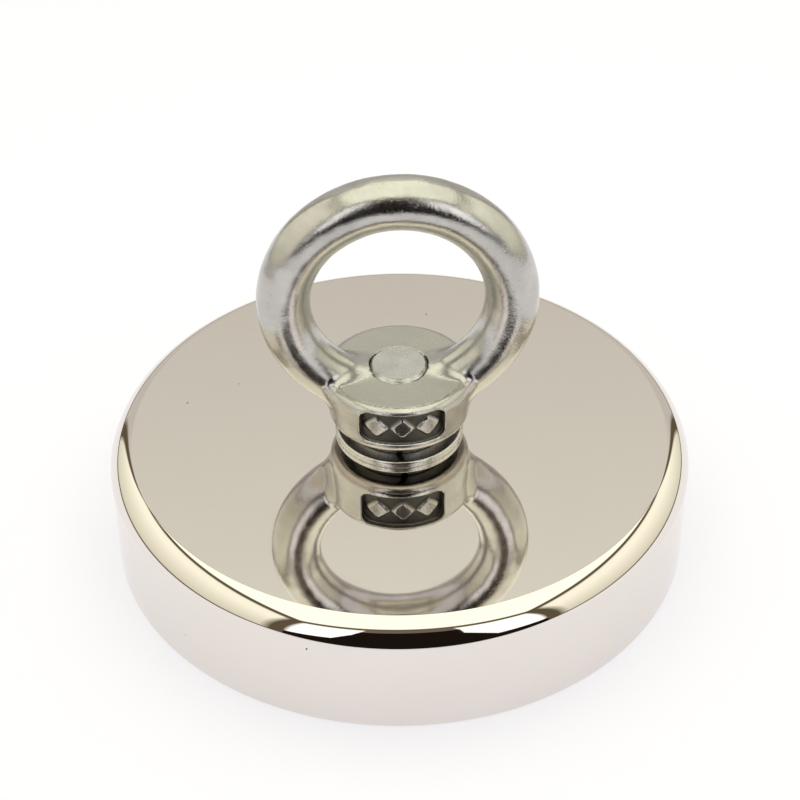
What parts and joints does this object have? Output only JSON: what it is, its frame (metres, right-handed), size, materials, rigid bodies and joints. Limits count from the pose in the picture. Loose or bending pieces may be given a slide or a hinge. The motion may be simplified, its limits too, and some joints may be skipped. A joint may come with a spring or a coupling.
{
  "type": "fishing magnet",
  "caption": "Round nickel-plated pot magnet with a screwed-on stainless lifting eye for a retrieval rope.",
  "frame": {"origin": "centre of the magnetic face, on the plane that the pot stands on", "axes": "+Z out of the pot's back and up through the lifting eye, +Y through the eye's ring from front to back, +X to the right seen from the front"},
  "size_m": [0.09, 0.09, 0.0643],
  "materials": {
    "nickel_plating": "polished",
    "magnet_plating": "satin",
    "adhesive": "matte",
    "potting_resin": "gloss",
    "bush_steel": "satin",
    "screw_steel": "satin",
    "washer_steel": "satin",
    "spring_steel": "satin",
    "cast_stainless": "satin"
  },
  "bodies": {
    "base": {"steel_pot": "nickel_plating", "ring_magnet": "magnet_plating", "bond_layer": "adhesive", "outer_potting": "potting_resin", "inner_potting": "potting_resin", "centre_bush": "bush_steel", "countersunk_screw": "screw_steel", "flat_washer": "washer_steel"},
    "washer": {"lock_washer": "spring_steel"},
    "eye": {"eye_nut": "cast_stainless"}
  },
  "joints": [
    {"name": "washer_rise", "type": "slide", "parent": "base", "child": "washer", "axis": [0, 0, 1], "range_m": [0, 0.0087]},
    {"name": "eye_turn", "type": "hinge", "parent": "washer", "child": "eye", "pos_m": [0, 0, 0.0222], "axis": [0, 0, 1], "range_deg": [0, 2070]}
  ],
  "couplings": [
    {"joint": "washer_rise", "follows": "eye_turn", "m_per_rad": 0.00023873}
  ]
}
